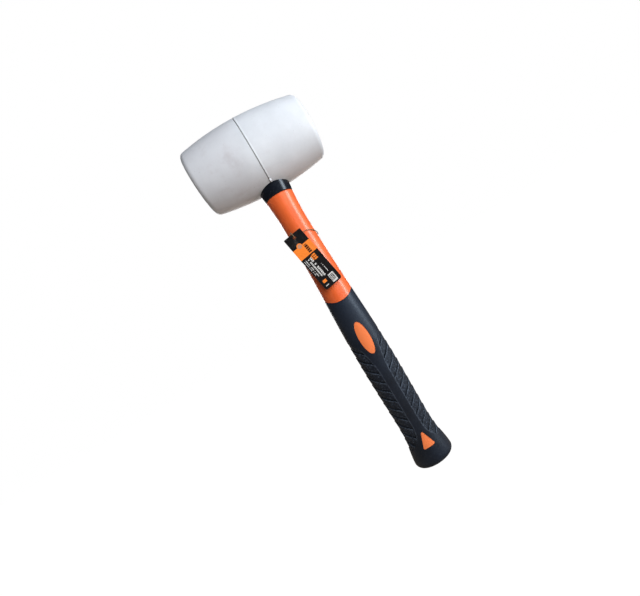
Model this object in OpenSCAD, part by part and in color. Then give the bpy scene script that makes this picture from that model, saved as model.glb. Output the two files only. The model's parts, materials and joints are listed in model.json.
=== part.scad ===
// Rubber mallet: a moulded barrel head on a two-material handle with a stiff
// core, a collar under the head, and a swing tag on a string round the neck.
// Millimetres. The butt stands on z = 0, +Z runs up the handle to the head,
// X is the striking axis, and the tag hangs on the -Y side.

/* [Head] */
// Length of the head, face to face
head_len = 125; // [115:1:135]
// Diameter of the barrel at its middle
head_mid_d = 79; // [76:1:84]
// Diameter of the barrel at the faces, before the rim is rounded
head_face_d = 66; // [62:1:70]
// Radius of the rounded rim of each face
rim_r = 5.5; // [3:0.5:7]
// Height of the head's centre line above the butt
head_z = 353.5; // [352:0.5:358]
// Diameter of the eye that runs up through the head
eye_d = 26; // [25:0.5:28]
// Width of the moulding seam round the middle of the barrel
seam_w = 0.9; // [0.6:0.1:1.4]
// How far the moulding seam stands above the barrel
seam_h = 0.3; // [0.2:0.1:0.5]

/* [Collar] */
// Height of the collar's lower edge
collar_z = 305.5; // [303:0.5:307]
// Diameter of the collar at its lower edge
collar_low_d = 30.8; // [30.4:0.2:32]
// Diameter of the collar at its upper end, against the barrel
collar_top_d = 34.2; // [33:0.2:35]

/* [Handle] */
// Diameter of the fibreglass core
core_d = 12; // [8:0.5:14]
// Diameter of the jacket where the grip is moulded over it
bed_d = 23; // [20:0.5:24]
// Diameter of the jacket's tenon inside the eye
tenon_d = 22; // [20:0.5:23]
// Diameter of the jacket's shoulder inside the collar
shoulder_d = 26; // [25:0.5:27]
// Depth of the grip as a share of its width
grip_flat = 0.86; // [0.8:0.01:0.95]
// Radius of the rounded edge at the butt
butt_r = 6; // [4:0.5:7]

/* [Grip windows] */
// Height of the lowest point of the grip's upper edge
lip_z = 185; // [183:0.5:187]
// Rise of the grip's upper edge from its front to its sides
lip_rise = 6.5; // [4:0.5:8]
// Height of the middle of the oval window
oval_z = 142.5; // [138:0.5:146]
// Length of the oval window
oval_len = 35; // [30:1:40]
// Width of the oval window
oval_w = 11.6; // [9:0.2:13]
// Height of the triangular window's lower side
tri_z = 19.5; // [18:0.5:22]
// Height of the triangular window
tri_h = 15.5; // [12:0.5:17]
// Width of the triangular window at its lower side
tri_w = 12.4; // [10:0.2:14]
// How far the orange pads lie below the grip's surface
pad_recess = 0.4; // [0.2:0.1:0.8]

/* [Tag and string] */
// Length of the tag
tag_len = 62; // [55:1:65]
// Width of the tag
tag_w = 19.8; // [18:0.2:21]
// Thickness of the tag
tag_t = 0.5; // [0.3:0.1:0.6]
// Diameter of the string's hole in the tag
tag_hole_d = 3; // [2.8:0.1:3.4]
// Distance from the tag's upper edge to the middle of the hole
tag_hole_in = 4.2; // [3.8:0.1:4.4]
// Lean of the hanging tag away from the handle's line, in degrees
tag_lean = 10; // [0:1:12]
// Diameter of the string
string_d = 0.9; // [0.7:0.1:1]

/* [Hidden] */

gap = 0.1;                      // between pieces that are moulded or pressed together
glue_gap = 0.05;                // between the adhesive and what it bonds
head_mid_r = head_mid_d / 2;
head_top = head_z + head_mid_r;
shoulder_top = collar_z + 8.5;  // the jacket steps down here to its tenon
tenon_top = head_top - 5;       // the handle ends a little way down the eye
glue_top = tenon_top - 1.5;
core_low = 16;                  // lower end of the fibreglass core
bed_low = 9;                    // lower end of the jacket, above the butt's skin
round_above = lip_z;            // above this height the handle is round
flat_below = 140;               // below this height it has its full flatness
front_back = [0, 1];            // mirror planes for what repeats front and back

// Half widths of the handle as [height, half width], with a smooth curve between
handle_sizes = [[0, 20.9], [7, 20.8], [15, 19.8], [23, 18.4], [31, 17.4], [43, 16.9],
                [60, 17.1], [85, 17.6], [112, 17.95], [140, 17.45], [165, 16.6],
                [190, 15.5], [215, 14.6], [245, 13.85], [277, 13.35], [292, 13.9],
                [304.5, 14.9], [312, 15.6]];

// The tag hangs from the middle of its hole
tag_hole_at = [-8.5, -20, 259.4];

// Route of the string: a closed loop round the neck and through the tag's hole
string_route = [[-8.5, -20, 259.4], [-7.6, -18.3, 258.9], [-4, -16.8, 259.6],
                [1.4, -15.4, 260.9], [7, -13.3, 261], [11.7, -8.6, 258.6],
                [14.2, -2.5, 255.8], [13.9, 4.6, 254.2], [9.7, 11.1, 254.2],
                [1.5, 14.7, 255], [-7.5, 12.8, 257.2], [-13.2, 6.8, 258.8],
                [-15, -1.8, 259.4], [-14.6, -8.6, 260], [-13, -13.2, 261.5],
                [-11.4, -15.5, 262.8], [-10.3, -17.7, 264.6], [-9.6, -20.1, 265.3],
                [-9, -21.7, 264], [-8.7, -22.2, 262], [-8.5, -21.6, 260.3]];
string_steps = 4;               // rings of the string from one route point to the next

// Slope of the handle's outline at its station i
function width_slope(i) =
    let (s = handle_sizes, a = s[max(i - 1, 0)], b = s[min(i + 1, len(s) - 1)])
    (b[1] - a[1]) / (b[0] - a[0]);

// Half width of the handle at height z
function half_w(z, i = 0) =
    let (s = handle_sizes)
    z > s[i + 1][0] && i < len(s) - 2 ? half_w(z, i + 1)
    : let (span = s[i + 1][0] - s[i][0], t = (z - s[i][0]) / span,
           t2 = t * t, t3 = t2 * t)
      (2 * t3 - 3 * t2 + 1) * s[i][1] + (3 * t2 - 2 * t3) * s[i + 1][1]
      + span * ((t3 - 2 * t2 + t) * width_slope(i) + (t3 - t2) * width_slope(i + 1));

// Half depth of the handle at height z
function half_d(z) =
    let (t = min(max((z - flat_below) / (round_above - flat_below), 0), 1))
    half_w(z) * (grip_flat + (1 - grip_flat) * t * t * (3 - 2 * t));

// Oval ring of the grip's outside at height z, drawn in by `inset` all round
function grip_ring(z, inset = 0, sides = 40) =
    [for (i = [0 : sides - 1]) let (a = 360 * i / sides)
        [(half_w(z) - inset) * cos(a), (half_d(z) - inset) * sin(a), z]];

// Smooth closed curve through the points of p, with `steps` points a span
function smooth(p, steps) =
    let (n = len(p))
    [for (i = [0 : n - 1]) for (k = [0 : steps - 1])
        let (t = k / steps, a = p[(i + n - 1) % n], b = p[i],
             c = p[(i + 1) % n], d = p[(i + 2) % n])
        0.5 * (2 * b + t * (c - a) + t * t * (2 * a - 5 * b + 4 * c - d)
               + t * t * t * (3 * b - a - 3 * c + d))];

function unit(v) = v / norm(v);

// Ring of points round the closed path q at its point i; the path never runs along up
function cord_ring(q, i, d, up = [0, 0, 1], sides = 8) =
    let (n = len(q),
         t = unit(q[(i + 1) % n] - q[(i + n - 1) % n]),
         u = unit(cross(t, up)), v = cross(t, u))
    [for (k = [0 : sides - 1]) let (a = 360 * k / sides)
        q[i] + d / 2 * (u * cos(a) + v * sin(a))];

// Skin over a stack of rings, closed by end faces or joined back to its first ring
module loft(rings, closed = false) {
    n = len(rings[0]);
    m = len(rings);
    spans = closed ? m : m - 1;
    sides = [for (k = [0 : spans - 1]) for (i = [0 : n - 1])
        let (j = (i + 1) % n, r = (k + 1) % m * n)
        [k * n + i, r + i, r + j, k * n + j]];
    ends = closed ? [] : [[for (i = [0 : n - 1]) i],
                          [for (i = [n - 1 : -1 : 0]) (m - 1) * n + i]];
    polyhedron(points = [for (ring = rings) each ring], faces = concat(sides, ends),
               convexity = 6);
}

// String of diameter d along a smooth closed curve through the points of p
module cord(p, d) {
    q = smooth(p, string_steps);
    loft([for (i = [0 : len(q) - 1]) cord_ring(q, i, d)], closed = true);
}

// Half outline of the barrel, its axis along y: an arc with rounded rims
module barrel_outline(grow) {
    half = head_len / 2;
    bulge = (head_mid_d - head_face_d) / 2;
    arc_r = (half * half + bulge * bulge) / (2 * bulge) + grow;
    centre_x = head_mid_r + grow - arc_r;
    rim_y = half - rim_r;
    rim_x = centre_x + sqrt(pow(arc_r - rim_r, 2) - rim_y * rim_y);
    lean = asin(rim_y / (arc_r - rim_r));
    difference() {
        intersection() {
            translate([centre_x, 0]) circle(arc_r, $fn = 360);
            translate([0, -half]) square([head_mid_d, head_len]);
        }
        for (end = [0, 1]) mirror([0, end]) translate([rim_x, rim_y]) difference() {
            polygon([[0, 0], [2 * rim_r * cos(lean), 2 * rim_r * sin(lean)],
                     [2 * rim_r, 2 * rim_r], [0, 2 * rim_r]]);
            circle(rim_r, $fn = 96);
        }
    }
}

// The barrel with its moulding seam, lying along X
module barrel(grow = 0) {
    seam_r = head_mid_r + seam_h + grow;
    wide = seam_w + 2 * grow;
    translate([0, 0, head_z]) rotate([0, 90, 0]) {
        rotate_extrude($fn = 180) barrel_outline(grow);
        cylinder(r = seam_r, h = wide, center = true, $fn = 180);
    }
}

module rubber_head() {
    color("#e4e7eb") difference() {
        barrel();
        translate([0, 0, head_z]) cylinder(d = eye_d, h = head_mid_d + 4, center = true, $fn = 64);
    }
}

// The jacket's tenon, with grooves that key it into the adhesive
module tenon(grow = 0) {
    groove_w = 5;
    groove_in = 0.8;
    groove_pitch = 14;
    difference() {
        translate([0, 0, shoulder_top - 1])
            cylinder(d = tenon_d + 2 * grow, h = tenon_top - shoulder_top + 1, $fn = 64);
        for (z = [shoulder_top + groove_pitch : groove_pitch : tenon_top - groove_pitch])
            translate([0, 0, z]) difference() {
                cylinder(d = tenon_d + 2, h = groove_w - 2 * grow, center = true, $fn = 64);
                cylinder(d = tenon_d - 2 * groove_in + 2 * grow, h = groove_w + 1,
                         center = true, $fn = 64);
            }
    }
}

module eye_adhesive() {
    low = head_z - sqrt(pow(head_mid_r, 2) - pow(eye_d / 2, 2)) + 0.5;
    color("#8a7445") difference() {
        translate([0, 0, low])
            cylinder(d = eye_d - 2 * glue_gap, h = glue_top - low, $fn = 64);
        tenon(glue_gap);
    }
}

module neck_collar() {
    edge = 0.6;
    top = head_z - head_mid_r + 7;
    inner_r = shoulder_d / 2 + gap;
    color("#1b1c1f") difference() {
        rotate_extrude($fn = 96)
            polygon([[inner_r, collar_z + gap], [collar_low_d / 2 - edge, collar_z + gap],
                     [collar_low_d / 2, collar_z + gap + edge], [collar_top_d / 2, top],
                     [inner_r, top]]);
        barrel(gap);
    }
}

module handle_core() {
    color("#d9d2b4") translate([0, 0, core_low])
        cylinder(d = core_d, h = tenon_top - core_low, $fn = 64);
}

// All that lies above the grip's upper edge, which dips at the front and the back
module above_lip(grow = 0) {
    side = half_w(lip_z + lip_rise);
    lip_r = (side * side + lip_rise * lip_rise) / (2 * lip_rise);
    span = 60;
    translate([0, 0, lip_z + lip_r]) rotate([90, 0, 0])
        cylinder(r = lip_r + grow, h = span, center = true, $fn = 128);
    translate([-span / 2, -span / 2, lip_z + lip_rise - grow]) cube([span, span, 3 * span]);
}

// Triangle that points up the handle, with rounded corners
module triangle(grow) {
    corner = 1.1;
    hull() for (p = [[-tri_w / 2 + corner, corner], [tri_w / 2 - corner, corner],
                     [0, tri_h - corner]])
        translate(p) circle(corner + grow, $fn = 24);
}

module oval(grow, sides = 48) {
    polygon([for (i = [0 : sides - 1]) let (a = 360 * i / sides)
        [(oval_w / 2 + grow) * cos(a), (oval_len / 2 + grow) * sin(a)]]);
}

// The two windows as prisms that run through the handle from front to back
module windows(grow = 0) {
    deep = 60;
    rotate([90, 0, 0]) linear_extrude(deep, center = true) {
        translate([0, oval_z]) oval(grow);
        translate([0, tri_z]) triangle(grow);
    }
}

// Round bar whose front follows the grip's front from z0 to z1, a little below it
module front_bar(z0, z1) {
    mid = (z0 + z1) / 2;
    bar_r = half_w(mid) * half_w(mid) / half_d(mid);
    slope = atan((half_d(z1) - half_d(z0)) / (z1 - z0));
    spare = 12;
    translate([0, bar_r - (half_d(z0) + half_d(z1)) / 2 + pad_recess, mid])
        rotate([slope, 0, 0]) cylinder(r = bar_r, h = z1 - z0 + spare, center = true, $fn = 128);
}

// Orange pads that stand up from the jacket and fill the grip's windows
module pads() {
    half = [60, 30, 2 * lip_z];
    for (side = front_back) mirror([0, side, 0]) intersection() {
        windows();
        union() {
            front_bar(oval_z - oval_len / 2, oval_z + oval_len / 2);
            front_bar(tri_z, tri_z + tri_h);
        }
        translate([-half[0] / 2, -half[1], 0]) cube(half);
    }
}

// The round shaft between the grip and the collar
module shaft() {
    low = lip_z - 3;
    step = 5;
    stations = [for (z = [low : step : collar_z - 2]) [half_w(z), z]];
    rotate_extrude($fn = 96)
        polygon(concat([[0, low]], stations, [[half_w(collar_z), collar_z], [0, collar_z]]));
}

module handle_jacket() {
    color("#ee6a36") difference() {
        union() {
            translate([0, 0, bed_low])
                cylinder(d = bed_d, h = lip_z + lip_rise - bed_low + 1, $fn = 64);
            intersection() {
                shaft();
                above_lip();
            }
            translate([0, 0, collar_z - 1])
                cylinder(d = shoulder_d, h = shoulder_top - collar_z + 1, $fn = 64);
            tenon();
            pads();
        }
        translate([0, 0, core_low - gap])
            cylinder(d = core_d + 2 * glue_gap, h = tenon_top, $fn = 64);
    }
}

module soft_grip() {
    step = 8;
    edge_steps = 5;
    edge = [for (k = [0 : edge_steps]) let (a = 90 * k / edge_steps)
        grip_ring(butt_r * (1 - cos(a)), butt_r * (1 - sin(a)))];
    stations = [for (z = [butt_r + step / 2 : step : lip_z + lip_rise + step]) grip_ring(z)];
    color("#2b2e35") difference() {
        loft(concat(edge, stations));
        above_lip(gap);
        translate([0, 0, bed_low - gap]) cylinder(d = bed_d + 2 * gap, h = 2 * lip_z, $fn = 64);
        windows(gap);
    }
}

module tag_string() {
    color("#6d5a44") cord(string_route, string_d);
}

module hang_tag() {
    top_corner = 1;
    low_corner = 2.5;
    top_y = tag_hole_in;
    low_y = tag_hole_in - tag_len;
    corners = [[tag_w / 2, top_y, top_corner], [tag_w / 2, low_y, low_corner]];
    color("#1a1918") translate(tag_hole_at) rotate([90, -tag_lean, 0])
        linear_extrude(tag_t, center = true) difference() {
            hull() for (c = corners, side = [-1, 1])
                translate([side * (c[0] - c[2]), c[1] - sign(c[1]) * c[2]])
                    circle(c[2], $fn = 48);
            circle(d = tag_hole_d, $fn = 48);
        }
}

rubber_head();
eye_adhesive();
neck_collar();
handle_core();
handle_jacket();
soft_grip();
tag_string();
hang_tag();
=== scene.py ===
"""Looks of a rubber mallet.

A white barrel head on an orange handle with a black textured grip and neck
collar, and a printed tag tied round the neck with twisted string.
Lengths are in millimetres until they reach a mesh, which is in metres.
"""
import json
import math

import bpy
import numpy as np
from mathutils import Matrix, Vector


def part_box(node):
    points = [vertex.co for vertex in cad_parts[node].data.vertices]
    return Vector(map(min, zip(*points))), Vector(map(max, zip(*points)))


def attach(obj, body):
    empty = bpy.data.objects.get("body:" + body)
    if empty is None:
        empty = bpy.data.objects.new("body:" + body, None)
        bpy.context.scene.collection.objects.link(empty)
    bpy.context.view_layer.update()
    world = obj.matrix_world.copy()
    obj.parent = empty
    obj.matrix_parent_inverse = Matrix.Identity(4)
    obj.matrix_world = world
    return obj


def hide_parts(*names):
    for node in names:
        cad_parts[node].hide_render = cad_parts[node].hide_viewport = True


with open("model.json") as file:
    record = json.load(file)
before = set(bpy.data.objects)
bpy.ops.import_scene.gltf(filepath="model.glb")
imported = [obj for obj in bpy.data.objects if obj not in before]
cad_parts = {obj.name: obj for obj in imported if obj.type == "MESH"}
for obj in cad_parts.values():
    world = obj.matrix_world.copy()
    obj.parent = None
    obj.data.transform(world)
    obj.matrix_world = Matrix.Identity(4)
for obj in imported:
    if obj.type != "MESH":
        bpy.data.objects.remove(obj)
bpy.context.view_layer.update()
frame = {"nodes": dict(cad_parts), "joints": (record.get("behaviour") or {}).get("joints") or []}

MM = 0.001
UP = Vector((0, 0, 1))
TURN = 2 * math.pi


def deselect():
    """Leaves nothing selected."""
    bpy.ops.object.select_all(action="DESELECT")


deselect()
floor_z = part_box("soft_grip")[0][2]


# ---------------------------------------------------------------- sizes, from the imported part
def box_of(node):
    """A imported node's lowest and highest corners, in millimetres."""
    return [Vector(c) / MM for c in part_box(node)]


GAP = 0.1                                   # between moulded or pressed pieces
head_low, head_high = box_of("rubber_head")
SEAM_H = 0.3                                # height of the head's moulding seam
FACET_SAG = 0.02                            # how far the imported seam's facets fall short
HEAD_Z = (head_low.z + head_high.z) / 2     # axis of the barrel
HEAD_HALF = head_high.x                     # half length of the barrel
HEAD_R = head_high.y - SEAM_H + FACET_SAG   # radius at the middle of the barrel
FACE_R = 33                                 # radius at the strike faces
RIM_R = 5.5                                 # rounding of the rims
EYE_R = 13                                  # radius of the eye

COLLAR_Z = box_of("neck_collar")[0].z - GAP
SHOULDER_Z = COLLAR_Z + 8.5
TENON_TOP = box_of("handle_jacket")[1].z
TENON_R = 11
RING_PITCH, RING_HALF, RING_DEEP = 14, 2.5, 0.8     # grooves that key the tenon
CORE_R = 6                                  # the fibreglass core inside the jacket
CORE_LOW = 16
BED_R = 11.5                                # the jacket under the grip
BED_LOW = 9
GLUE = 0.05                                 # between the core and its bore

LIP_Z = 185                                 # lowest point of the grip's upper edge
LIP_RISE = 6.5                              # how much higher it is at the sides
LIP_FADE = 26                               # over this height the lip's curve dies out
FLATNESS = 0.86                             # depth of the grip over its width
FLAT_BELOW = 140
BUTT_R = 6                                  # rounding of the butt
PAD_RECESS = 0.4                            # how deep the orange pads lie in the grip
OVAL_Z, OVAL_LEN, OVAL_W = 142.5, 35, 11.6
TRI_Z, TRI_H, TRI_W, TRI_CORNER = 19.5, 15.5, 12.4, 1.1

TAG_LEN, TAG_W, TAG_T = 62, 19.8, 0.5
TAG_TOP_R, TAG_FOOT_R = 1, 2.5              # its corners by the hole and at the foot
TAG_HOLE_R, TAG_HOLE_IN = 1.5, 4.2
TAG_LEAN = math.radians(10)
YARN_R, YARN_LAY, YARN_TWIST = 0.235, 0.225, 2.6    # strand, its place, length of a turn
TAG_HOLE = Vector(next(j for j in frame["joints"] if j["name"] == "tag_swing")["pos_m"]) / MM

# Half widths of the handle at its heights
HANDLE = np.array([
    (0, 20.9), (7, 20.8), (15, 19.8), (23, 18.4), (31, 17.4), (43, 16.9), (60, 17.1),
    (85, 17.6), (112, 17.95), (140, 17.45), (165, 16.6), (190, 15.5), (215, 14.6),
    (245, 13.85), (277, 13.35), (292, 13.9), (304.5, 14.9), (312, 15.6)])

# Route of the string: a closed loop round the neck and through the tag's hole
STRING_ROUTE = [
    (-8.5, -20, 259.4), (-7.6, -18.3, 258.9), (-4, -16.8, 259.6), (1.4, -15.4, 260.9),
    (7, -13.3, 261), (11.7, -8.6, 258.6), (14.2, -2.5, 255.8), (13.9, 4.6, 254.2),
    (9.7, 11.1, 254.2), (1.5, 14.7, 255), (-7.5, 12.8, 257.2), (-13.2, 6.8, 258.8),
    (-15, -1.8, 259.4), (-14.6, -8.6, 260), (-13, -13.2, 261.5), (-11.4, -15.5, 262.8),
    (-10.3, -17.7, 264.6), (-9.6, -20.1, 265.3), (-9, -21.7, 264), (-8.7, -22.2, 262),
    (-8.5, -21.6, 260.3)]


def half_width(z):
    """Half width of the handle at the heights z: the part's own smooth curve."""
    s, w = HANDLE[:, 0], HANDLE[:, 1]
    slope = np.empty_like(w)
    slope[1:-1] = (w[2:] - w[:-2]) / (s[2:] - s[:-2])
    slope[0] = (w[1] - w[0]) / (s[1] - s[0])
    slope[-1] = (w[-1] - w[-2]) / (s[-1] - s[-2])
    z = np.asarray(z, float)
    i = np.clip(np.searchsorted(s, z, side="right") - 1, 0, len(s) - 2)
    span = s[i + 1] - s[i]
    t = (z - s[i]) / span
    return ((2 * t**3 - 3 * t**2 + 1) * w[i] + (3 * t**2 - 2 * t**3) * w[i + 1]
            + span * ((t**3 - 2 * t**2 + t) * slope[i] + (t**3 - t**2) * slope[i + 1]))


def rise(x, low, high):
    """0 below low, 1 above high and a smooth step between."""
    t = np.clip((x - low) / (high - low), 0, 1)
    return t * t * (3 - 2 * t)


def depth_ratio(z):
    """Depth of the handle over its width: flattened at the grip, round at the neck."""
    return FLATNESS + (1 - FLATNESS) * rise(np.asarray(z, float), FLAT_BELOW, LIP_Z)


lip_side = float(half_width(LIP_Z + LIP_RISE))
LIP_R = (lip_side**2 + LIP_RISE**2) / (2 * LIP_RISE)


def lip_lift(x):
    """How far the grip's upper edge rises above its lowest point, at x from the middle."""
    return LIP_R - np.sqrt(np.maximum(LIP_R**2 - np.minimum(np.abs(x), lip_side)**2, 0))


# ---------------------------------------------------------------- camera, light and floor
def aim(obj, eye, target, roll=0):
    """Stands obj at eye so that it looks at target, rolled to the right."""
    eye, target = Vector(eye) * MM, Vector(target) * MM
    turn = (target - eye).to_track_quat("-Z", "Y").to_matrix().to_4x4()
    obj.matrix_world = Matrix.Translation(eye) @ turn @ Matrix.Rotation(-roll, 4, "Z")


def stand_camera():
    """Stands the camera in front of the mallet, near and rolled, as a hand holds it."""
    bpy.ops.object.camera_add()
    camera = bpy.context.object
    camera.name = "camera"
    camera.data.lens = 22
    camera.data.sensor_width = 36
    camera.data.shift_x = -0.0505
    camera.data.shift_y = -0.0357
    camera.data.clip_start = 0.02
    aim(camera, (-13.9, -393.8, 202.9), (22.4, 0, 200.5), math.radians(30.97))
    bpy.context.scene.camera = camera


def hang_light(name, eye, target, size, power, colour):
    """A rectangular lamp at eye, facing target: its size in metres, its power in watts."""
    bpy.ops.object.light_add(type="AREA")
    light = bpy.context.object
    light.name = name
    light.data.shape = "RECTANGLE"
    light.data.size, light.data.size_y = size
    light.data.energy = power
    light.data.color = colour
    aim(light, eye, target)
    return light


def light_scene():
    """Daylight from the front right, a strip that glints on the handle, light from behind."""
    key = hang_light("key", (400, -1200, 540), (0, 0, 220), (0.7, 1.5), 18.8, (0.97, 0.985, 1))
    key.visible_glossy = False      # a soft wash: the highlights are the strip's alone
    hang_light("strip", (1150, -520, 330), (0, 0, 220), (0.4, 1.3), 16, (0.93, 0.965, 1))
    side = hang_light("side", (-850, 1020, 420), (0, 0, 220), (1, 1.2), 5.5, (0.95, 0.98, 1))
    side.visible_glossy = False     # it lights the left face and leaves no rim on the handle
    hang_light("rear", (-60, 1300, 430), (0, 0, 220), (1.2, 1.4), 23, (1, 1, 1))
    bpy.context.scene.view_settings.view_transform = "Standard"


stand_camera()
light_scene()


# ---------------------------------------------------------------- building materials
class Wire:
    """A value on its way through a material: arithmetic on it adds Math nodes."""

    def __init__(self, finish, socket):
        self.finish, self.socket = finish, socket

    def maths(self, operation, *values):
        """A Math node of this operation on the values."""
        return self.finish.node("ShaderNodeMath", {"operation": operation},
                                dict(enumerate(values)))

    def __add__(self, other):
        return self.maths("ADD", self, other)

    def __sub__(self, other):
        return self.maths("SUBTRACT", self, other)

    def __mul__(self, other):
        return self.maths("MULTIPLY", self, other)

    def __truediv__(self, other):
        return self.maths("DIVIDE", self, other)

    def __rsub__(self, other):
        return self.maths("SUBTRACT", other, self)

    __radd__, __rmul__ = __add__, __mul__

    def near(self, middle, reach):
        """1 where the value is within reach of the middle."""
        return self.maths("COMPARE", self, middle, reach)

    def above(self, limit):
        """1 where the value is over the limit."""
        return self.maths("GREATER_THAN", self, limit)

    def step(self, low, high):
        """0 at low, 1 at high and smooth between, whichever of the two is greater."""
        flip = low > high
        low, high = sorted((low, high))
        made = self.finish.node("ShaderNodeMapRange", {"interpolation_type": "SMOOTHSTEP"},
                                {"Value": self, "From Min": low, "From Max": high})
        return 1 - made if flip else made


class Finish:
    """One material, made node by node round its shader."""

    def __init__(self, name, **constants):
        self.material = bpy.data.materials.new(name)
        self.material.use_nodes = True
        self.tree = self.material.node_tree
        self.shader = self.tree.nodes["Principled BSDF"]
        for socket, value in constants.items():
            self.shader.inputs[socket.replace("_", " ")].default_value = value
        self.place = self.node("ShaderNodeTexCoord", out="Object")

    def node(self, kind, settings=None, inputs=None, out=0):
        """Adds a node with its settings and its sockets' values or wires."""
        made = self.tree.nodes.new(kind)
        for name, value in (settings or {}).items():
            setattr(made, name, value)
        for name, value in (inputs or {}).items():
            if isinstance(value, Wire):
                self.tree.links.new(value.socket, made.inputs[name])
            else:
                made.inputs[name].default_value = value
        return Wire(self, made.outputs[out])

    def noise(self, scale, detail=2, rough=0.5, stretch=None):
        """Noise from 0 to 1, its scale in features a metre."""
        place = self.place
        if stretch:
            place = self.node("ShaderNodeVectorMath", {"operation": "MULTIPLY"},
                              {0: place, 1: stretch})
        return self.node("ShaderNodeTexNoise", {}, {
            "Vector": place, "Scale": scale, "Detail": detail, "Roughness": rough})

    def cells(self, scale, feature="F1"):
        """Distance from the middles of scattered cells."""
        return self.node("ShaderNodeTexVoronoi", {"feature": feature},
                         {"Vector": self.place, "Scale": scale}, "Distance")

    def mix(self, amount, a, b):
        """Colour a, turning to b with the amount."""
        return self.node("ShaderNodeMix", {"data_type": "RGBA"}, {0: amount, 6: a, 7: b}, 2)

    def axes(self, place=None):
        """The place's x, y and z as three wires."""
        place = place or self.place
        return [self.node("ShaderNodeSeparateXYZ", {}, {0: place}, k) for k in "XYZ"]

    def bump(self, height, distance, strength, under=None):
        """Normal from a height of 0 to 1 that stands for a distance in millimetres."""
        inputs = {"Height": height, "Distance": distance * MM, "Strength": strength}
        if under:
            inputs["Normal"] = under
        return self.node("ShaderNodeBump", {}, inputs, "Normal")

    def feed(self, **wires):
        """Joins the wires to the shader's sockets of these names; gives the material."""
        for socket, wire in wires.items():
            self.tree.links.new(wire.socket, self.shader.inputs[socket.replace("_", " ")])
        return self.material


def tint(red, green, blue):
    """A colour from its 0 to 255 values on a screen."""
    def linear(c):
        c /= 255
        return c / 12.92 if c <= 0.04045 else ((c + 0.055) / 1.055) ** 2.4
    return (linear(red), linear(green), linear(blue), 1)


# ---------------------------------------------------------------- modelling by hand, in code
def start_mesh(name):
    """An object whose mesh is one point at the origin, selected in edit mode."""
    deselect()
    bpy.ops.mesh.primitive_plane_add(size=MM)
    piece = bpy.context.object
    piece.name = piece.data.name = name
    bpy.ops.object.mode_set(mode="EDIT")
    bpy.ops.mesh.merge(type="CENTER")
    return piece


def tidy_skin(piece):
    """Merges doubled points and turns the faces outwards."""
    bpy.ops.object.mode_set(mode="EDIT")
    bpy.ops.mesh.select_all(action="SELECT")
    bpy.ops.mesh.remove_doubles(threshold=1e-6)
    bpy.ops.mesh.normals_make_consistent(inside=False)
    bpy.ops.object.mode_set(mode="OBJECT")


def turn_piece(name, outline, steps, centre=(0, 0, 0), axis=UP, out=Vector((1, 0, 0))):
    """Turns a solid from its outline of (distance from the axis, place along the axis)."""
    piece = start_mesh(name)
    centre, axis = Vector(centre), Vector(axis)
    last = Vector()
    for r, along in outline:
        point = (centre + out * float(r) + axis * float(along)) * MM
        if last.length == 0:
            bpy.ops.transform.translate(value=point)
        elif (point - last).length > 1e-7:
            bpy.ops.mesh.extrude_vertices_move(TRANSFORM_OT_translate={"value": point - last})
        last = point
    bpy.ops.mesh.select_all(action="SELECT")
    bpy.ops.mesh.spin(steps=steps, angle=TURN, center=centre * MM, axis=axis)
    bpy.ops.object.mode_set(mode="OBJECT")
    tidy_skin(piece)
    return piece


def points_of(piece):
    """The piece's points as an array of rows, in millimetres."""
    flat = np.empty(len(piece.data.vertices) * 3)
    piece.data.vertices.foreach_get("co", flat)
    return flat.reshape(-1, 3) / MM


def move_points(piece, points):
    """Puts the piece's points at these places, in millimetres."""
    piece.data.vertices.foreach_set("co", (np.asarray(points) * MM).ravel())
    piece.data.update()


def only(piece):
    """Selects this piece alone."""
    deselect()
    piece.select_set(True)
    bpy.context.view_layer.objects.active = piece


def combine(piece, tool, operation="DIFFERENCE"):
    """Cuts the tool from the piece, or joins or keeps what is common to both."""
    only(piece)
    boolean = piece.modifiers.new("shape", "BOOLEAN")
    boolean.operation, boolean.object, boolean.solver = operation, tool, "EXACT"
    bpy.ops.object.modifier_apply(modifier=boolean.name)
    bpy.data.objects.remove(tool)


def smooth(piece, degrees):
    """Clears slivers and shades the piece smooth over all but its sharp edges."""
    only(piece)
    bpy.ops.object.mode_set(mode="EDIT")
    bpy.ops.mesh.select_all(action="SELECT")
    bpy.ops.mesh.dissolve_degenerate(threshold=2e-6)
    bpy.ops.object.mode_set(mode="OBJECT")
    bpy.ops.object.shade_smooth_by_angle(angle=math.radians(degrees))


def prism(name, outline):
    """A solid of this outline of (x, z), running from front to back through the handle."""
    deep = 60
    piece = start_mesh(name)
    last = Vector()
    ring = [Vector((x, -deep / 2, z)) * MM for x, z in outline]
    for point in ring:
        if last.length == 0:
            bpy.ops.transform.translate(value=point)
        else:
            bpy.ops.mesh.extrude_vertices_move(TRANSFORM_OT_translate={"value": point - last})
        last = point
    bpy.ops.mesh.select_all(action="SELECT")
    bpy.ops.mesh.edge_face_add()
    bpy.ops.mesh.extrude_region_move(
        TRANSFORM_OT_translate={"value": (0, deep * MM, 0)})
    bpy.ops.object.mode_set(mode="OBJECT")
    tidy_skin(piece)
    return piece


def finish_piece(piece, body, slot, material, *replaced):
    """Gives the piece its finish and hangs it on its body."""
    piece.data.materials.clear()
    piece.data.materials.append(material)
    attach(piece, body)
    if replaced:
        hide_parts(*replaced)


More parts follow.
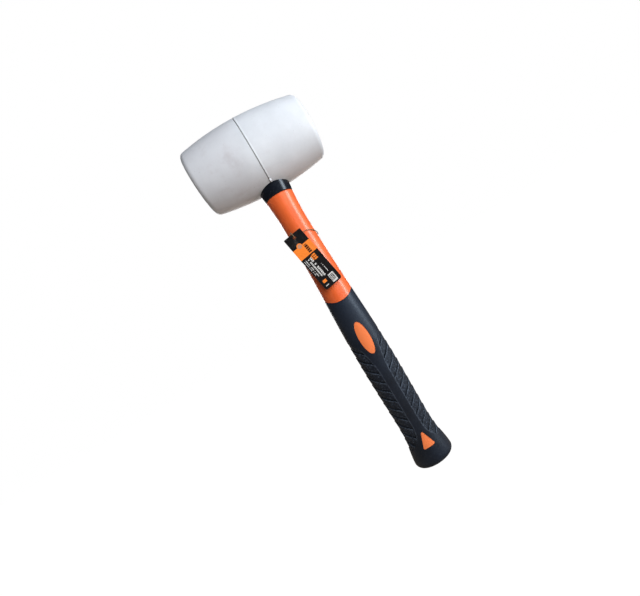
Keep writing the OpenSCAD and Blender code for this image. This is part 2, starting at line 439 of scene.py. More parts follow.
# ---------------------------------------------------------------- finishes
def white_rubber():
    """Matte white rubber, a little mottled and smudged, with fine grain."""
    f = Finish("white_rubber", IOR=1.46)
    mottle = f.noise(38, 4, 0.6)
    smudge = f.noise(60, 5, 0.7).step(0.5, 0.78)
    drag = f.noise(60, 3, 0.6, stretch=(0.35, 1, 1)).step(0.6, 0.8)
    speck = f.cells(330).step(0.12, 0.06) * f.noise(55, 2).step(0.5, 0.62)
    pale = f.mix(mottle.step(0.3, 0.7), tint(206, 211, 218), tint(215, 220, 227))
    x = f.axes()[0]
    left = x.step(0.008, -0.025)                # painted shade: the left half is darker all over, and its real smudges are stronger there
    soiled_and_shaded = f.mix(smudge * (0.14 + 0.2 * left) + drag * 0.1 + 0.24 * left, pale,
                   tint(180, 175, 180))
    # painted shadow: a dark grey line in the hollow left of the seam's ridge; the specks are dirt
    seam = x.near(-0.00075, 0.00042)
    colour = f.mix(speck * 0.45 + seam * 0.62, soiled_and_shaded, tint(120, 118, 116))
    grain = f.noise(1500, 3, 0.6)
    swell = f.noise(130, 3, 0.5)
    normal = f.bump(swell, 0.25, 0.4, f.bump(grain, 0.06, 0.6))
    return f.feed(Base_Color=colour, Roughness=0.52 + 0.16 * mottle + 0.08 * smudge,
                  Normal=normal)


def collar_plastic():
    """Black moulded plastic with a soft gloss."""
    f = Finish("collar_plastic", IOR=1.5, Specular_Tint=(0.8, 0.9, 1, 1))
    cloud = f.noise(160, 3, 0.6)
    pale_specks = f.cells(700).step(0.16, 0.1) * f.noise(120, 2).step(0.5, 0.65)
    colour = f.mix(pale_specks * 0.35, f.mix(cloud, tint(13, 16, 22), tint(22, 27, 36)),
                   tint(120, 116, 112))
    return f.feed(Base_Color=colour, Roughness=0.2 + 0.08 * cloud + 0.2 * pale_specks,
                  Normal=f.bump(f.noise(1300, 2), 0.03, 0.5))


def orange_plastic():
    """Orange moulded plastic: glossy on the shaft, matte and speckled on the pads."""
    f = Finish("orange_plastic", IOR=1.5, Coat_Roughness=0.26)
    pad = f.axes()[2].step(0.18, 0.176)         # the pads lie below the grip's lip
    cloud = f.noise(70, 3, 0.6)
    streak = f.noise(260, 3, 0.6, stretch=(1, 1, 0.06)).step(0.45, 0.8)
    speck = f.cells(900).step(0.3, 0.12)
    shaft = f.mix(cloud.step(0.3, 0.7), tint(228, 95, 42), tint(235, 105, 48))
    worn = f.mix(streak * 0.18, shaft, tint(250, 150, 104))
    rough = f.mix(speck * 0.5, tint(232, 122, 68), tint(220, 104, 50))
    colour = f.mix(pad, worn, rough)
    grain = f.bump(f.noise(1900, 3), 0.05, 0.5 * pad + 0.12)
    return f.feed(Base_Color=colour, Roughness=0.5 + 0.08 * cloud + 0.1 * pad,
                  Coat_Weight=0.8 * (1 - pad), Normal=grain)


def grip_rubber():
    """Blue-black soft rubber, leathery inside the textured panels."""
    f = Finish("grip_rubber", IOR=1.48, Specular_IOR_Level=0.6,
               Specular_Tint=(0.72, 0.86, 1, 1))
    panel, groove, rubbed = (
        f.node("ShaderNodeAttribute", {"attribute_name": name}, out="Fac")
        for name in ("panel", "groove", "rubbed"))
    crease = f.cells(620, "SMOOTH_F1")
    worm = f.noise(560, 3, 0.65)
    fine = f.noise(1700, 2, 0.5)
    cloud = f.noise(45, 3, 0.6)
    pale_specks = f.noise(620, 4, 0.7).step(0.52, 0.66)
    base = f.mix(cloud.step(0.3, 0.7), tint(14, 18, 27), tint(22, 28, 40))
    neck = f.axes()[2].step(0.125, 0.165)       # smooth and a little paler towards the lip
    base = f.mix(neck * 0.6, base, tint(37, 45, 59))
    # pale bluish specks, mostly in the panels: painted glints on the pebbling, and some dust
    colour = f.mix(pale_specks * (0.03 + 0.3 * panel), base, tint(104, 118, 138))
    # painted highlight: the groove lips and the spine's edges are coloured pale blue, patchily
    colour = f.mix(rubbed * worm.step(0.3, 0.6) * 0.35, colour, tint(120, 132, 150))
    # painted shade: the grooves and the hollows of the panels' relief are coloured near black
    dark = groove * 0.85 + panel * worm.step(0.5, 0.34) * 0.4
    colour = f.mix(dark, colour, tint(9, 10, 13))
    relief = f.bump(worm * 0.7 + crease * 0.4, 0.6, panel * 0.9 + 0.03)
    normal = f.bump(fine, 0.05, 0.5, relief)
    return f.feed(Base_Color=colour, Roughness=0.4 + 0.12 * cloud + 0.1 * panel,
                  Normal=normal)


def tag_card():
    """Black printed card: an orange band, plain bars in rows and a striped patch."""
    f = Finish("tag_card", IOR=1.4)
    corner = TAG_HOLE + Vector((-math.cos(TAG_LEAN), 0, -math.sin(TAG_LEAN))) * (TAG_W / 2)
    corner += Vector((-math.sin(TAG_LEAN), 0, math.cos(TAG_LEAN))) * TAG_HOLE_IN
    flat = f.node("ShaderNodeMapping", {"vector_type": "TEXTURE"}, {
        "Vector": f.place, "Location": corner * MM, "Rotation": (0, -TAG_LEAN, 0),
        "Scale": (TAG_W * MM, 0.001, TAG_LEN * MM)})
    across, _, upward = f.axes(flat)
    along = 0 - upward
    front = f.node("ShaderNodeAttribute", {"attribute_name": "printed"}, out="Fac")

    def bar(a0, a1, w0, w1):
        """1 inside the lengthwise range a0 to a1 and the crosswise range w0 to w1."""
        return (along.near((a0 + a1) / 2, (a1 - a0) / 2)
                * across.near((w0 + w1) / 2, (w1 - w0) / 2))

    def words(a0, a1, w0, w1, pitch, seed):
        """A row of uneven dashes, as closely set print looks from afar."""
        run = along / pitch + seed
        letter = run.maths("FRACT", run).near(0.45, 0.38)
        cell = run.maths("FLOOR", run)
        blank = f.node("ShaderNodeTexWhiteNoise", {"noise_dimensions": "1D"},
                       {"W": cell}, "Value").above(0.16)
        return bar(a0, a1, w0, w1) * letter * blank

    # Ranges are shares of the card, down from its top edge and across from its left
    orange = tint(238, 128, 44)
    white = tint(226, 226, 224)
    black = tint(13, 12, 14)
    ink = f.noise(300, 3, 0.6)
    base = f.mix(ink.step(0.4, 0.8), black, tint(22, 21, 24))
    band = bar(0.218, 0.41, -1, 2) * front
    colour = f.mix(band, base, orange)
    name_bar = words(0.245, 0.41, 0.58, 0.75, 0.034, 0.3) * front
    colour = f.mix(name_bar, colour, black)
    name_low = (words(0.41, 0.53, 0.58, 0.75, 0.034, 0.3) + bar(0.44, 0.52, 0.5, 0.55)) * front
    colour = f.mix(name_low, colour, orange)
    rows = words(0.455, 0.8, 0.395, 0.49, 0.03, 0.1)
    for a0, a1, w0, w1, pitch, seed in (
            (0.455, 0.79, 0.275, 0.35, 0.025, 0.6), (0.45, 0.76, 0.165, 0.205, 0.017, 0.2),
            (0.45, 0.72, 0.08, 0.115, 0.017, 0.7), (0.63, 0.785, 0.67, 0.705, 0.017, 0.4)):
        rows = rows + words(a0, a1, w0, w1, pitch, seed)
    patch = bar(0.83, 0.975, 0.53, 0.82)
    stripe_run = across * 76
    stripes = f.node("ShaderNodeTexWhiteNoise", {"noise_dimensions": "1D"},
                     {"W": stripe_run.maths("FLOOR", stripe_run)}, "Value").above(0.35)
    stripes = stripes * bar(0.845, 0.95, 0.55, 0.8)
    colour = f.mix(rows * 0.8, colour, white)
    colour = f.mix(patch * 0.85, colour, white)
    colour = f.mix(stripes, colour, black)
    colour = f.mix(bar(0.85, 0.895, 0.14, 0.34) * front, colour, orange)
    colour = f.mix(bar(0.94, 0.955, 0.12, 0.3) * 0.6, colour, white)
    reach = f.node("ShaderNodeCombineXYZ", {}, {
        "X": (across - 0.41) * TAG_W, "Y": (along - 0.221) * TAG_LEN})
    reach = f.node("ShaderNodeVectorMath", {"operation": "LENGTH"}, {0: reach}, "Value")
    colour = f.mix(reach.step(3.1, 2.9) * front, colour, orange)
    colour = f.mix(reach.step(2.3, 2.1) * front, colour, tint(186, 136, 108))
    scuff = f.noise(160, 4, 0.7).step(0.58, 0.75)
    colour = f.mix(scuff * 0.15, colour, tint(150, 146, 142))
    return f.feed(Base_Color=colour, Roughness=0.5 + 0.25 * scuff + 0.1 * ink,
                  Normal=f.bump(f.noise(400, 2), 0.05, 0.3))


def twine():
    """Brown-green twisted string with loose fibres."""
    f = Finish("twine", Roughness=0.85, Sheen_Weight=0.2)
    fibre = f.noise(2600, 3, 0.7)
    cloud = f.noise(220, 2)
    colour = f.mix(fibre, tint(96, 76, 52), tint(158, 136, 104))
    colour = f.mix(cloud * 0.5, colour, tint(108, 100, 78))
    return f.feed(Base_Color=colour, Normal=f.bump(fibre, 0.12, 0.8))


def adhesive():
    """Cured amber adhesive in the eye, with bubbles and a slightly uneven top."""
    f = Finish("adhesive", IOR=1.5)
    bubble = f.cells(700).step(0.22, 0.12)
    cloud = f.noise(150, 3)
    colour = f.mix(cloud, tint(118, 92, 46), tint(160, 128, 72))
    colour = f.mix(bubble * 0.5, colour, tint(196, 170, 116))
    normal = f.bump(cloud, 0.5, 0.5, f.bump(bubble, 0.15, 0.6))
    return f.feed(Base_Color=colour, Roughness=0.22 + 0.2 * cloud, Normal=normal)


def fibreglass():
    """Pale pultruded rod: lengthwise glass strands in straw-coloured resin."""
    f = Finish("fibreglass", IOR=1.52)
    strand = f.noise(1500, 3, 0.6, stretch=(1, 1, 0.02))
    cloud = f.noise(90, 2)
    colour = f.mix(strand, tint(186, 178, 142), tint(226, 220, 194))
    colour = f.mix(cloud * 0.3, colour, tint(204, 196, 150))
    return f.feed(Base_Color=colour, Roughness=0.34 + 0.24 * strand,
                  Normal=f.bump(strand, 0.08, 0.6))


def floor_paint():
    """Pale floor, white to the camera and softly shaded under the butt."""
    f = Finish("floor_paint", Roughness=0.9)
    pale = f.mix(f.noise(3, 2), tint(166, 152, 138), tint(172, 158, 144))
    f.feed(Base_Color=pale)
    glow = f.tree.nodes.new("ShaderNodeEmission")
    glow.inputs["Strength"].default_value = 1.1
    seen = f.node("ShaderNodeLightPath", out="Is Camera Ray")
    shade = f.tree.nodes.new("ShaderNodeMixShader")
    f.tree.links.new((seen * 0.92).socket, shade.inputs[0])
    f.tree.links.new(f.shader.outputs[0], shade.inputs[1])
    f.tree.links.new(glow.outputs[0], shade.inputs[2])
    f.tree.links.new(shade.outputs[0], f.tree.nodes["Material Output"].inputs[0])
    return f.material


def paint_world():
    """White behind the mallet, with a dim sky to light it."""
    world = bpy.data.worlds.new("studio")
    bpy.context.scene.world = world
    world.use_nodes = True
    tree = world.node_tree
    sky = tree.nodes["Background"]
    sky.inputs[0].default_value = (0.93, 0.96, 1, 1)
    sky.inputs[1].default_value = 0.04
    white = tree.nodes.new("ShaderNodeBackground")
    white.inputs[0].default_value = (1, 1, 1, 1)
    white.inputs[1].default_value = 1
    seen = tree.nodes.new("ShaderNodeLightPath")
    blend = tree.nodes.new("ShaderNodeMixShader")
    tree.links.new(seen.outputs["Is Camera Ray"], blend.inputs[0])
    tree.links.new(sky.outputs[0], blend.inputs[1])
    tree.links.new(white.outputs[0], blend.inputs[2])
    tree.links.new(blend.outputs[0], tree.nodes["World Output"].inputs[0])


def lay_floor():
    """A wide floor just under the butt, which is no part of the mallet."""
    deselect()
    bpy.ops.mesh.primitive_plane_add(size=8, location=(0, 0, floor_z - 0.0002))
    floor = bpy.context.object
    floor.name = "floor"
    floor.data.materials.append(floor_paint())


paint_world()
lay_floor()


# ---------------------------------------------------------------- head
BULGE = HEAD_R - FACE_R
ARC_R = (HEAD_HALF**2 + BULGE**2) / (2 * BULGE)
RIM_AT = HEAD_HALF - RIM_R
RIM_CENTRE = HEAD_R - ARC_R + math.sqrt((ARC_R - RIM_R)**2 - RIM_AT**2)


def barrel_radius(x):
    """Radius of the barrel at x along its axis."""
    return HEAD_R - ARC_R + np.sqrt(ARC_R**2 - np.asarray(x, float)**2)


def barrel_half():
    """Half outline of the barrel from its middle to the centre of a strike face."""
    tangent = RIM_AT + RIM_R * RIM_AT / (ARC_R - RIM_R)
    skin = [(float(barrel_radius(x)), x)
            for x in [1.6, 2.2, 3, 4.5, *np.linspace(6.5, tangent - 0.5, 25)]]
    lean = math.asin(RIM_AT / (ARC_R - RIM_R))
    rim = [(RIM_CENTRE + RIM_R * math.cos(a), RIM_AT + RIM_R * math.sin(a))
           for a in np.linspace(lean, math.pi / 2, 11)]
    face = [(r, HEAD_HALF) for r in (26, 22, 17, 11, 5, 0)]
    return skin + rim + face


def make_head():
    """Barrel with a moulding seam round its middle, a nub on the seam, and its eye."""
    half = barrel_half()
    # The seam from side to side: place along the barrel, height as a share of SEAM_H
    ridge = [(HEAD_R + SEAM_H * h, x) for x, h in (
        (-1.3, 0), (-1.1, -0.8), (-0.9, -1.8), (-0.6, -1.8), (-0.42, -0.6), (-0.25, 0.6),
        (-0.05, 0.95), (0.2, 1), (0.45, 0.9), (0.7, 0.6), (0.95, 0.25), (1.25, 0))]
    outline = [(r, -x) for r, x in reversed(half)] + ridge + half
    head = turn_piece("barrel_head", outline, 192, (0, 0, HEAD_Z), Vector((1, 0, 0)), UP)
    nub_y = -19.2
    nub_z = HEAD_Z - math.sqrt(HEAD_R**2 - nub_y**2)
    bpy.ops.mesh.primitive_uv_sphere_add(segments=24, ring_count=12, radius=MM,
                                         location=(0.2 * MM, nub_y * MM, nub_z * MM))
    nub = bpy.context.object
    bpy.ops.transform.resize(value=(1.3, 1.7, 1.4))
    bpy.ops.object.transform_apply(location=True, rotation=True, scale=True)
    combine(head, nub, "UNION")
    cut_eye(head)
    smooth(head, 40)
    finish_piece(head, "mallet", "white_rubber", white_rubber(), "rubber_head")


def cut_eye(head):
    """Cuts the eye through the head, its mouths rounded all the way round."""
    soft = 1.3                                  # rounding of the mouths
    skin_mark = 100                             # stands for the barrel's skin at first
    upper = [(EYE_R + soft * (1 - math.cos(a)), soft * (math.sin(a) - 1))
             for a in np.linspace(0, math.pi / 2, 6)]
    upper += [(EYE_R + soft + 1, 0.3), (EYE_R + soft + 1, 3), (0, 3)]
    upper = [(r, skin_mark + d) for r, d in upper]
    lower = [(r, -along) for r, along in reversed(upper)]
    tool = turn_piece("eye_tool", lower + upper, 128, (0, 0, HEAD_Z))
    p = points_of(tool)
    up = p[:, 2] - HEAD_Z
    skin = np.sqrt(np.maximum(barrel_radius(p[:, 0])**2 - p[:, 1]**2, 0))
    sign = np.sign(up)
    p[:, 2] = HEAD_Z + sign * (skin + (np.abs(up) - skin_mark))
    move_points(tool, p)
    combine(head, tool)


def make_collar():
    """Ring round the neck, its top cut to lie against the barrel."""
    low, top = COLLAR_Z + GAP, HEAD_Z - HEAD_R + 7
    low_r, top_r, inner = 15.4, 17.1, EYE_R + GAP
    corner = 0.9
    edge = [(low_r - corner + corner * math.sin(a), low + corner - corner * math.cos(a))
            for a in np.linspace(0, math.pi / 2, 6)]
    side = [(low_r + (top_r - low_r) * t, low + corner + (top - low - corner) * t)
            for t in (0.25, 0.5, 0.75, 1)]
    outline = [(inner, low), *edge, *side, (inner, top), (inner, low)]
    collar = turn_piece("collar_ring", outline, 128)
    swell = [(r + GAP, x) for r, x in barrel_half()]
    block = turn_piece("head_tool", [(r, -x) for r, x in reversed(swell)] + swell, 160,
                       (0, 0, HEAD_Z), Vector((1, 0, 0)), UP)
    combine(collar, block)
    smooth(collar, 40)
    finish_piece(collar, "mallet", "collar_plastic", collar_plastic(), "neck_collar")


# ---------------------------------------------------------------- handle
def oval_outline(grow):
    """The oval window's outline, grown by this much."""
    sides = 72
    return [((OVAL_W / 2 + grow) * math.cos(TURN * i / sides),
             OVAL_Z + (OVAL_LEN / 2 + grow) * math.sin(TURN * i / sides))
            for i in range(sides)]


def triangle_outline(grow):
    """The triangular window's outline, corners rounded, pointing up the handle."""
    steps = 8
    c = TRI_CORNER
    corners = [Vector((-TRI_W / 2 + c, TRI_Z + c)), Vector((TRI_W / 2 - c, TRI_Z + c)),
               Vector((0, TRI_Z + TRI_H - c))]
    points = []
    for i, here in enumerate(corners):
        before, after = corners[i - 1], corners[(i + 1) % 3]
        turn_in = math.atan2(*(here - before).yx) - math.pi / 2
        turn_out = math.atan2(*(after - here).yx) - math.pi / 2
        turn = (turn_out - turn_in) % TURN
        for k in range(steps + 1):
            a = turn_in + turn * k / steps
            points.append((here.x + (c + grow) * math.cos(a), here.y + (c + grow) * math.sin(a)))
    return points


def flatten_handle(piece):
    """Presses a round turning to the handle's depth at each height."""
    p = points_of(piece)
    p[:, 1] *= depth_ratio(p[:, 2])
    move_points(piece, p)


def make_pads():
    """Domed pads that stand in the grip's windows, front and back."""
    low, high = 8, 176                          # past both windows
    heights = np.arange(low, high, 2.0)
    skin = [(float(half_width(z)) - PAD_RECESS, z) for z in heights]
    pads = []
    for name, outline in (("oval_pads", oval_outline(0)), ("triangle_pads", triangle_outline(0))):
        pad = prism(name, outline)
        body = turn_piece("handle_tool", [(0, low), *skin, (0, heights[-1])], 144)
        flatten_handle(body)
        combine(pad, body, "INTERSECT")
        pads.append(pad)
    return pads


def make_jacket():
    """Shaft, its bed in the grip with the pads, and the grooved tenon in the eye."""
    tenon = []
    for k in range(1, 5):
        middle, floor_r = SHOULDER_Z + RING_PITCH * k, TENON_R - RING_DEEP
        low, high = middle - RING_HALF, middle + RING_HALF
        tenon += [(TENON_R, low), (floor_r, low), (floor_r, high), (TENON_R, high)]
    lip = LIP_Z + GAP
    sides = [(float(half_width(z)), z) for z in np.arange(lip + 1, COLLAR_Z - 1, 1.6)]
    outline = [(0, BED_LOW), (BED_R, BED_LOW), (BED_R, lip - 12), (BED_R, lip),
               (float(half_width(lip)) - 0.15, lip), (float(half_width(lip)), lip + 0.15),
               *sides, (float(half_width(COLLAR_Z - 1)), COLLAR_Z - 0.8),
               (float(half_width(COLLAR_Z)) - 0.7, COLLAR_Z),
               (EYE_R, COLLAR_Z), (EYE_R, SHOULDER_Z), (TENON_R, SHOULDER_Z), *tenon,
               (TENON_R, TENON_TOP - 0.6), (TENON_R - 0.6, TENON_TOP), (0, TENON_TOP)]
    jacket = turn_piece("jacket", outline, 144)
    p = points_of(jacket)
    away = rise(p[:, 2], lip - 13, lip - 1) * (1 - rise(p[:, 2], lip + 0.5, lip + LIP_FADE))
    outer = np.hypot(p[:, 0], p[:, 1]) > CORE_R + 1
    p[:, 2] += np.where(outer, away * lip_lift(p[:, 0]), 0)
    r = np.hypot(p[:, 0], p[:, 1])
    skin = (r > BED_R + 1) & (p[:, 2] < COLLAR_Z - 3) & (p[:, 2] > LIP_Z + 0.4)
    scale = np.where(skin, half_width(p[:, 2]) / np.maximum(r, 1), 1)
    p[:, 0] *= scale
    p[:, 1] *= scale
    move_points(jacket, p)
    for pad in make_pads():
        combine(jacket, pad, "UNION")
    bore = [(0, CORE_LOW - GLUE), (CORE_R + GLUE, CORE_LOW - GLUE),
            (CORE_R + GLUE, TENON_TOP + 5), (0, TENON_TOP + 5)]
    combine(jacket, turn_piece("bore_tool", bore, 96))
    smooth(jacket, 30)
    finish_piece(jacket, "mallet", "orange_plastic", orange_plastic(), "handle_jacket")


# ---------------------------------------------------------------- grip
COLUMNS = 264
GROOVE_PITCH = 10.5                 # up the handle, from one slanted groove to the next
GROOVE_SLOPE = 0.6
GROOVE_AT = 112.7                   # height where one groove starts from the middle

# Half width of the smooth spine between the textured panels, at heights
SPINE = np.array([(20.5, 21), (22, 16.5), (26, 11.5), (30, 8), (34, 5.9), (42, 4.6),
                  (90, 4.5), (106, 4.8), (114, 5.5), (122, 7), (130, 8.8), (136, 11.7),
                  (146, 18)])


def wobble(a, b, seed):
    """Smooth uneven field from a few waves, about -1 to 1."""
    total = 0
    for k, (fa, fb, shift) in enumerate(((1, 0.6, 0.3), (-0.7, 1.3, 1.9), (1.9, 1.1, 4.2),
                                         (2.7, -2.1, 2.7), (-3.6, 3.3, 5.1))):
        total = total + np.sin(a * fa + b * fb + shift + seed * (k + 1.7)) / (1 + 0.45 * k)
    return total / 2.6


def panel_relief(s, z, side):
    """Height of the grip's skin over its plain form, and how far a point is in a panel,
    in a groove and on an edge that gets a painted highlight, each 0 to 1."""
    u = np.abs(s)
    inner = np.interp(z, SPINE[:, 0], SPINE[:, 1])
    top = 129.5 + 0.6 * u
    panel = rise(u - inner, 0, 0.5) * rise(top - z, 0, 0.6) * rise(z, 21.2, 22.2)
    bend = 1.5 * np.exp(-np.maximum(u - inner, 0) / 0.9)
    drift = 0.4 * wobble(s * 0.32, z * 0.21, side)
    run = GROOVE_AT + GROOVE_SLOPE * u - bend + drift - z
    q = np.mod(run / GROOVE_PITCH, 1) * GROOVE_PITCH
    near = np.minimum(q, GROOVE_PITCH - q)
    width = 0.52 + 0.12 * wobble(s * 0.8, z * 0.7, side + 3)
    groove = np.exp(-(near / width)**2)
    lip = np.exp(-((q - 1.15) / 0.5)**2)
    slope = 0.34 - 0.46 * q / GROOVE_PITCH
    skin = 0.1 * wobble(s * 2.6, z * 2.2, side + 7) + 0.07 * wobble(s * 4.9, z * 4.4, side)
    height = -0.45 + slope + 0.16 * lip + skin - 0.95 * groove
    brink = np.exp(-((u - inner + 0.25) / 0.4)**2) * rise(z, 24, 30) * rise(138 - z, 0, 6)
    # painted highlight on the groove lips and on the spine's edges
    rubbed = np.maximum(panel * lip, 0.8 * brink)
    return panel * height + 0.06 * brink, panel, panel * groove, rubbed


def grip_rows():
    """Rows of the grip's outside: (inset, height) round the butt, then heights up the side."""
    butt = [(BUTT_R * (1 - math.sin(a)), BUTT_R * (1 - math.cos(a)))
            for a in np.linspace(0, math.pi / 2, 12)]
    heights = [*np.arange(7, 20.5, 1), *np.arange(20.75, 147, 0.5),
               *np.arange(148, LIP_Z - 1.5, 1.6)]
    return butt, heights


def make_grip():
    """Sleeve wrapped from a flat grid: floor, butt, textured side, lip and bed."""
    butt, heights = grip_rows()
    lip = LIP_Z - GAP
    # Each row's kind, how far it is set in from its outline, and its height
    plan = [("pole", 0.0, 0.0)]
    plan += [("floor", t, 0.0) for t in (0.2, 0.4, 0.6, 0.8, 0.92)]
    plan += [("side", inset, z) for inset, z in butt]
    plan += [("side", 0.0, z) for z in heights]
    plan += [("side", 0.0, lip - 0.5), ("side", 0.12, lip - 0.12), ("side", 0.5, lip),
             ("bed", 1.6, lip), ("bed", 0.0, lip)]
    plan += [("bed", 0.0, z) for z in (170, 150, 120, 90, 60, 30, BED_LOW - GAP)]
    plan += [("bed", -6.0, BED_LOW - GAP), ("pole", 0.0, BED_LOW - GAP)]
    deselect()
    bpy.ops.mesh.primitive_grid_add(x_subdivisions=COLUMNS, y_subdivisions=len(plan) - 1,
                                    size=0.2)
    grip = bpy.context.object
    grip.name = grip.data.name = "grip_sleeve"
    phi = np.arange(COLUMNS + 1) / COLUMNS * TURN   # round the handle from its front
    phi[-1] = 0
    sin, cos = np.sin(phi), np.cos(phi)
    # Angle from the nearer of front and back, and seeds that make the two differ
    quarter = np.mod(phi + math.pi / 2, math.pi) - math.pi / 2
    side = np.where(cos > 0, 0.0, 5.0)
    # the third mark is a painted highlight on the groove lips and the spine's edges
    points, marks = [], {"panel": [], "groove": [], "rubbed": []}
    for kind, inset, z in plan:
        height = np.full(phi.shape, float(z))
        found = [np.zeros(phi.shape)] * 3
        if kind == "pole":
            x, y = 0 * phi, 0 * phi
        elif kind == "floor":
            reach = float(half_width(0)) - BUTT_R
            x, y = inset * reach * sin, -inset * reach * FLATNESS * cos
        elif kind == "bed":
            r = BED_R + GAP + inset
            x, y = r * sin, -r * cos
            if z > LIP_Z - 1:
                height = height + lip_lift(x)
        else:
            lift = lip_lift(float(half_width(z)) * sin)
            height = height + lift * rise(z, LIP_Z - LIP_FADE, LIP_Z - 0.5)
            wide = half_width(height) - inset
            deep = half_width(height) * depth_ratio(height) - inset
            s = quarter * (wide + deep) / 2
            relief, *found = panel_relief(s, height, side)
            x, y = (wide + relief) * sin, -(deep + relief) * cos
        points.append(np.stack([x, y, height], 1))
        for values, part in zip(marks.values(), found):
            values.append(part)
    move_points(grip, np.concatenate(points))
    for name, values in marks.items():
        mark = grip.data.attributes.new(name, "FLOAT", "POINT")
        mark.data.foreach_set("value", np.concatenate(values).astype(np.float32))
    tidy_skin(grip)
    for outline in (oval_outline(GAP), triangle_outline(GAP)):
        combine(grip, prism("window_tool", outline))
    smooth(grip, 62)
    finish_piece(grip, "mallet", "grip_rubber", grip_rubber(), "soft_grip")


# ---------------------------------------------------------------- tag and string
def make_tag():
    """A thin card with round corners and a hole, very slightly bowed."""
    side = Vector((math.cos(TAG_LEAN), 0, math.sin(TAG_LEAN)))
    down = Vector((math.sin(TAG_LEAN), 0, -math.cos(TAG_LEAN)))
    deselect()
    bpy.ops.mesh.primitive_grid_add(x_subdivisions=20, y_subdivisions=60, size=1)
    card = bpy.context.object
    card.name = card.data.name = "printed_tag"
    p = points_of(card) * MM
    across, along = p[:, 0] + 0.5, 0.5 - p[:, 1]
    wide, below = (across - 0.5) * TAG_W, along * TAG_LEN - TAG_HOLE_IN
    bow = 0.45 * rise(along, 0.15, 1) + 0.12 * np.sin(along * 7)
    place = (np.array(TAG_HOLE)[None] + wide[:, None] * np.array(side)[None]
             + below[:, None] * np.array(down)[None])
    place[:, 1] -= bow
    move_points(card, place)
    only(card)
    thick = card.modifiers.new("card", "SOLIDIFY")
    thick.thickness, thick.offset = TAG_T * MM, 0
    bpy.ops.object.modifier_apply(modifier=thick.name)
    tidy_skin(card)
    outline = []
    low, high = -TAG_HOLE_IN, TAG_LEN - TAG_HOLE_IN
    for x_sign, y_end, y_sign, r, start in (
            (1, low, -1, TAG_TOP_R, -90), (1, high, 1, TAG_FOOT_R, 0),
            (-1, high, 1, TAG_FOOT_R, 90), (-1, low, -1, TAG_TOP_R, 180)):
        for k in range(9):
            a = math.radians(start + 90 * k / 8)
            outline.append((x_sign * (TAG_W / 2 - r) + r * math.cos(a),
                            y_end - y_sign * r + r * math.sin(a)))

    def placed(points):
        """Points on the leaning card as (x, z) in the mallet's frame."""
        spots = [TAG_HOLE + side * x + down * y for x, y in points]
        return [(s.x, s.z) for s in spots]

    combine(card, prism("card_tool", placed(outline)), "INTERSECT")
    hole = [(TAG_HOLE_R * math.cos(TURN * k / 40), TAG_HOLE_R * math.sin(TURN * k / 40))
            for k in range(40)]
    combine(card, prism("hole_tool", placed(hole)))
    printed = [float(face.normal.y < -0.5) for face in card.data.polygons]
    card.data.attributes.new("printed", "FLOAT", "FACE").data.foreach_set("value", printed)
    smooth(card, 30)
    finish_piece(card, "swing_tag", "tag_card", tag_card(), "hang_tag")


def smooth_route(points, steps, closed=True):
    """Catmull-Rom curve through the points."""
    p = np.array(points, float)
    n = len(p)
    spots = []
    for i in range(n if closed else n - 1):
        if closed:
            a, b, c, d = p[i - 1], p[i], p[(i + 1) % n], p[(i + 2) % n]
        else:
            a, b, c, d = p[max(i - 1, 0)], p[i], p[i + 1], p[min(i + 2, n - 1)]
        for k in range(steps):
            t = k / steps
            spots.append(0.5 * (2 * b + t * (c - a) + t * t * (2 * a - 5 * b + 4 * c - d)
                                + t**3 * (3 * b - a - 3 * c + d)))
    if not closed:
        spots.append(p[-1])
    return np.array(spots)


def strands(route, closed):
    """Two strands laid round each other along the route, as lists of points."""
    n = len(route)
    ahead = np.roll(route, -1, 0) - np.roll(route, 1, 0) if closed else np.gradient(route, axis=0)
    ahead /= np.linalg.norm(ahead, axis=1)[:, None]
    u = np.cross(ahead, (0.13, 0.21, 1))
    u /= np.linalg.norm(u, axis=1)[:, None]
    v = np.cross(ahead, u)
    step = np.linalg.norm(np.diff(route, axis=0, append=route[:1] if closed else route[-1:]),
                          axis=1)
    run = np.concatenate([[0], np.cumsum(step)[:-1]])
    total = step.sum()
    turns = max(1, round(total / YARN_TWIST)) if closed else total / YARN_TWIST
    a = run / total * turns * TURN
    made = []
    for half in (0, math.pi):
        turned = (a + half)[:, None]
        made.append(route + YARN_LAY * (u * np.cos(turned) + v * np.sin(turned)))
    return made


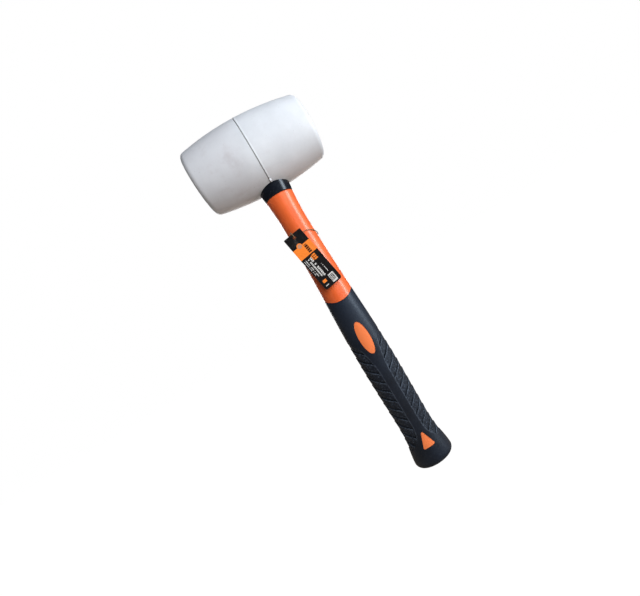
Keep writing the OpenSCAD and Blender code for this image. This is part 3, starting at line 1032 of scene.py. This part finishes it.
def make_string():
    """Twisted string round the neck and through the tag, with its knot behind."""
    deselect()
    bpy.ops.curve.primitive_bezier_circle_add(radius=0.01)
    string = bpy.context.object
    string.name = "twisted_string"
    string.data.splines.clear()
    string.data.bevel_depth = YARN_R * MM
    string.data.bevel_resolution = 2
    string.data.use_fill_caps = True

    def lay(points, closed):
        """Adds one strand to the string."""
        spline = string.data.splines.new("POLY")
        spline.points.add(len(points) - 1)
        for spot, p in zip(spline.points, points):
            spot.co = (*(p * MM), 1)
        spline.use_cyclic_u = closed

    loop = smooth_route(STRING_ROUTE, 18)
    for strand in strands(loop, True):
        lay(strand, True)
    knot = np.array((9.87, 11.3, 254.2))
    outward = np.array((0.66, 0.75, 0))
    along = np.array((-0.75, 0.66, 0.06))
    lift = np.cross(outward, along)
    # Two turns and a bit round the loop, then the ends, by place along it and out from it
    wrap = [knot + along * (t * 1.5 - 0.75) + 0.85 * (outward * math.cos(t * 2.2 * TURN)
                                                   + lift * math.sin(t * 2.2 * TURN))
            for t in np.linspace(0, 1, 12)]
    tail = [knot + along * x + outward * y + np.array((0, 0, z)) for x, y, z in
            ((0.75, 0.3, -0.4), (1.3, 0.1, -1.8), (1.7, -0.4, -4), (2.4, -0.7, -6.5),
             (3.1, -0.9, -8.6))]
    other = [knot + along * x + outward * y + np.array((0, 0, z)) for x, y, z in
             ((-0.75, 0.3, -0.4), (-1.2, 0.1, -1.6), (-1.5, -0.3, -3.6), (-1.4, -0.5, -5.6),
              (-1.9, -0.6, -7.2))]
    for points, steps in ((wrap, 4), (tail, 8), (other, 8)):
        for strand in strands(smooth_route(points, steps, False), False):
            lay(strand, False)
    bpy.ops.object.convert(target="MESH")
    string = bpy.context.object
    smooth(string, 60)
    finish_piece(string, "string_loop", "twine", twine(), "tag_string")


def paint_hidden():
    """Finishes for the two pieces that keep their own solids."""
    for node, material in (("eye_adhesive", adhesive()), ("handle_core", fibreglass())):
        for spot in frame["nodes"][node].material_slots:
            spot.material = material


make_head()
make_collar()
make_jacket()
make_grip()
make_tag()
make_string()
paint_hidden()
deselect()
